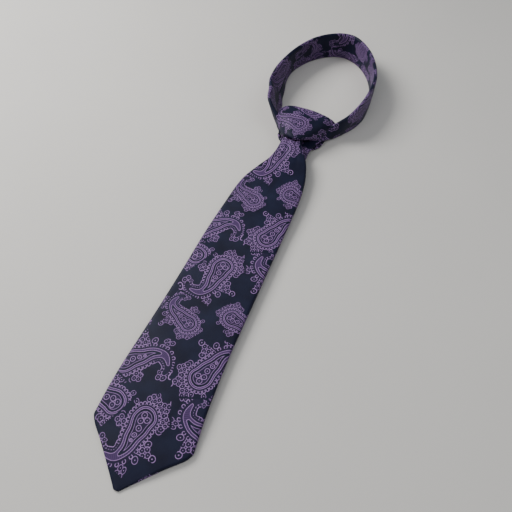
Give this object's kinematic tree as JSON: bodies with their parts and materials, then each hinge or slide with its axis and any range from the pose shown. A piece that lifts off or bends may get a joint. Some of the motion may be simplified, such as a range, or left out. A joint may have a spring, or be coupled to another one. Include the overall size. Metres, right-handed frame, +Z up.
{
  "type": "necktie",
  "caption": "Patterned silk necktie tied in a four-in-hand knot, laid flat on its back with the wide blade straight, the tail beneath it and the neck loop standing on its edge.",
  "frame": {"origin": "centre of the base of the box around the whole tie, on the surface it lies on", "axes": "+Y along the blade from its point towards the far end of the neck loop, +Z up out of the front face, +X to the right"},
  "size_m": [0.1254, 0.6042, 0.0366],
  "materials": {
    "shell_silk": "dark navy silk satin with a woven lilac paisley",
    "interlining": "matt brushed wool",
    "tipping": "plain navy satin lining",
    "thread": "matt sewing thread",
    "label": "blank woven label"
  },
  "bodies": {
    "knot": {"knot_front_wrap": "shell_silk", "knot_back_wrap": "shell_silk", "knot_inner_cross": "shell_silk", "knot_down_pass": "shell_silk"},
    "front_blade_upper": {"front_blade_upper_shell": "shell_silk", "front_blade_upper_interlining": "interlining", "front_upper_slip_stitch": "thread", "keeper_loop": "shell_silk", "maker_label": "label"},
    "front_blade_lower": {"front_blade_lower_shell": "shell_silk", "front_blade_lower_interlining": "interlining", "front_blade_tipping": "tipping", "front_bar_tack": "thread", "front_lower_slip_stitch": "thread"},
    "tail": {"tail_shell": "shell_silk", "tail_interlining": "interlining", "tail_tipping": "tipping", "tail_bar_tack": "thread", "tail_slip_stitch": "thread", "fibre_label": "label"},
    "neck_loop": {"neck_left_shell": "shell_silk", "neck_back_panel": "shell_silk", "neck_right_shell": "shell_silk", "neck_interlining": "interlining"}
  },
  "joints": [
    {"name": "front_blade_lift", "type": "hinge", "parent": "knot", "child": "front_blade_upper", "pos_m": [-0.0048, 0.0969, 0.022], "axis": [-1, 0, 0], "range_deg": [0, 70]},
    {"name": "front_blade_fold", "type": "hinge", "parent": "front_blade_upper", "child": "front_blade_lower", "pos_m": [-0.0053, -0.09793, 0.0097], "axis": [-1, 0, 0], "range_deg": [0, 150]},
    {"name": "tail_pull", "type": "slide", "parent": "knot", "child": "tail", "axis": [0, -1, 0], "range_m": [0, 0.04]},
    {"name": "neck_loop_close", "type": "slide", "parent": "knot", "child": "neck_loop", "axis": [0, -1, 0], "range_m": [0, 0.018]}
  ],
  "couplings": [
    {"joint": "neck_loop_close", "follows": "tail_pull", "ratio": 0.45}
  ]
}
